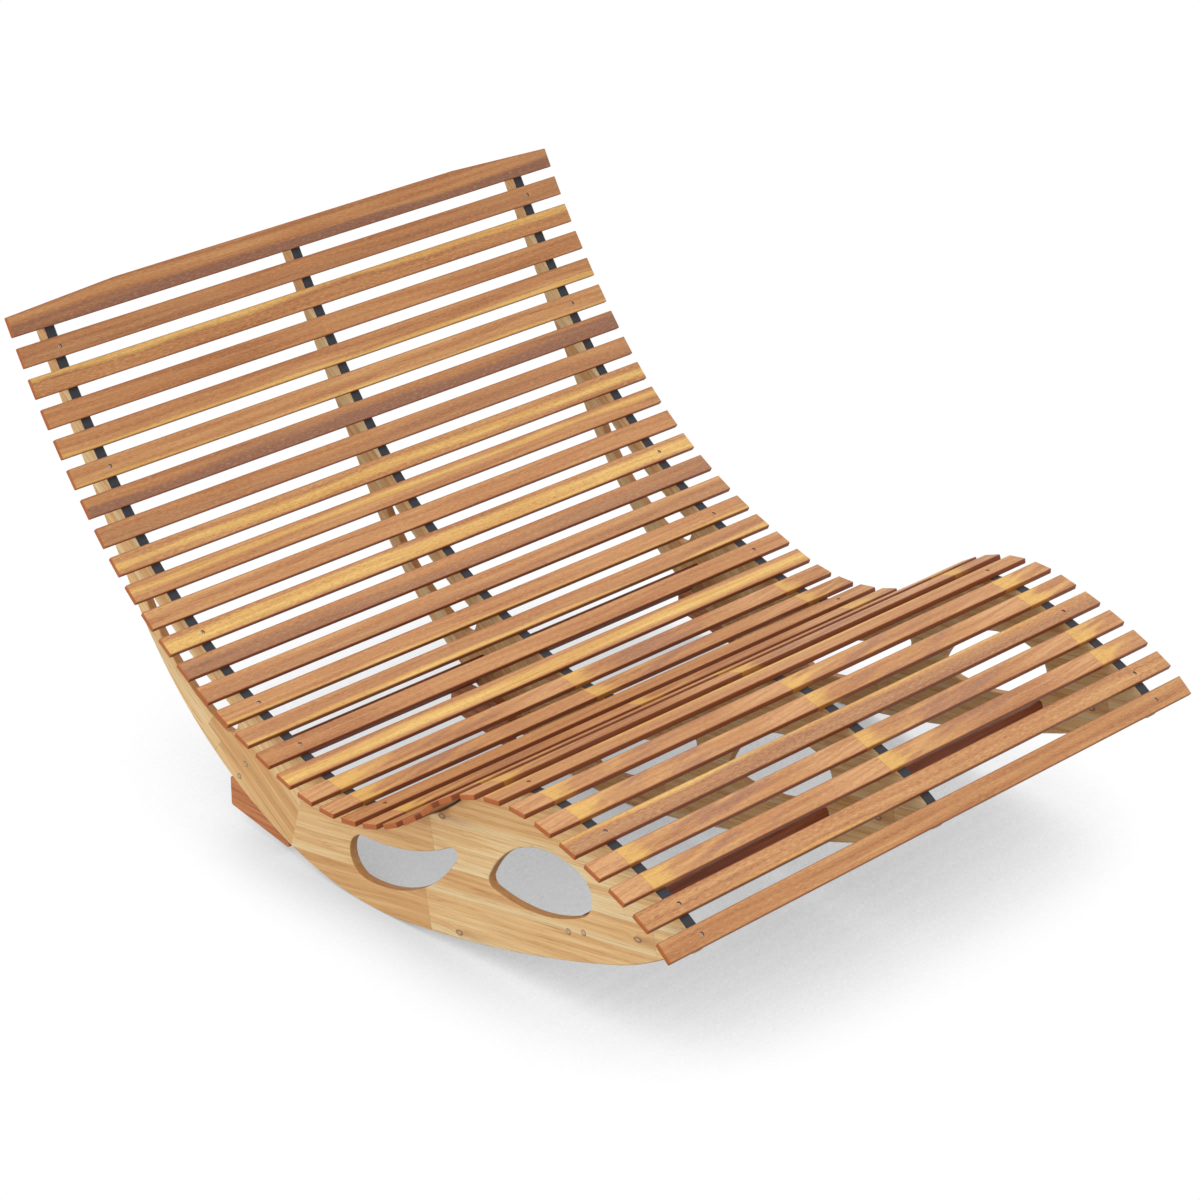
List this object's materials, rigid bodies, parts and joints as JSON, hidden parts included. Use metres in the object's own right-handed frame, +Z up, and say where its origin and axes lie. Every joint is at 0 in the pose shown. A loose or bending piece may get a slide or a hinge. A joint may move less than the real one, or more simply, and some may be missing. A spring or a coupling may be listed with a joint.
{
  "type": "double rocking lounger",
  "caption": "Slatted wooden lounger for two on three curved rocker frames with cut-outs, a high reclined back, a hollow seat and a raised knee.",
  "frame": {"origin": "on the floor, mid-width, under the line on which the rockers rest", "axes": "+X across the seat, +Y towards the head end, +Z up"},
  "size_m": [1.3, 1.6795, 0.8767],
  "materials": {
    "slat_wood": "oiled",
    "frame_wood": "oiled",
    "rail_wood": "oiled",
    "pale_wood": "bare",
    "webbing": "woven",
    "steel": "plated"
  },
  "bodies": {
    "root": {"barrel_nuts": "steel", "bolt_caps": "pale_wood", "joint_dowels": "pale_wood", "left_back_board": "frame_wood", "left_front_stretcher": "rail_wood", "left_rear_stop": "rail_wood", "left_rear_stretcher": "rail_wood", "left_seat_board": "frame_wood", "left_strap": "webbing", "middle_back_board": "frame_wood", "middle_rear_stop": "rail_wood", "middle_seat_board": "frame_wood", "middle_strap": "webbing", "middle_studs": "steel", "right_back_board": "frame_wood", "right_front_stretcher": "rail_wood", "right_rear_stop": "rail_wood", "right_rear_stretcher": "rail_wood", "right_seat_board": "frame_wood", "right_strap": "webbing", "slat_01": "slat_wood", "slat_02": "slat_wood", "slat_03": "slat_wood", "slat_04": "slat_wood", "slat_05": "slat_wood", "slat_06": "slat_wood", "slat_07": "slat_wood", "slat_08": "slat_wood", "slat_09": "slat_wood", "slat_10": "slat_wood", "slat_11": "slat_wood", "slat_12": "slat_wood", "slat_13": "slat_wood", "slat_14": "slat_wood", "slat_15": "slat_wood", "slat_16": "slat_wood", "slat_17": "slat_wood", "slat_18": "slat_wood", "slat_19": "slat_wood", "slat_20": "slat_wood", "slat_21": "slat_wood", "slat_22": "slat_wood", "slat_23": "slat_wood", "slat_24": "slat_wood", "slat_25": "slat_wood", "slat_26": "slat_wood", "slat_27": "slat_wood", "slat_28": "slat_wood", "slat_29": "slat_wood", "slat_30": "slat_wood", "slat_31": "slat_wood", "slat_32": "slat_wood", "slat_33": "slat_wood", "slat_34": "slat_wood", "slat_35": "slat_wood", "slat_screws": "steel", "stop_screws": "steel", "stretcher_bolts": "steel"}
  },
  "joints": []
}
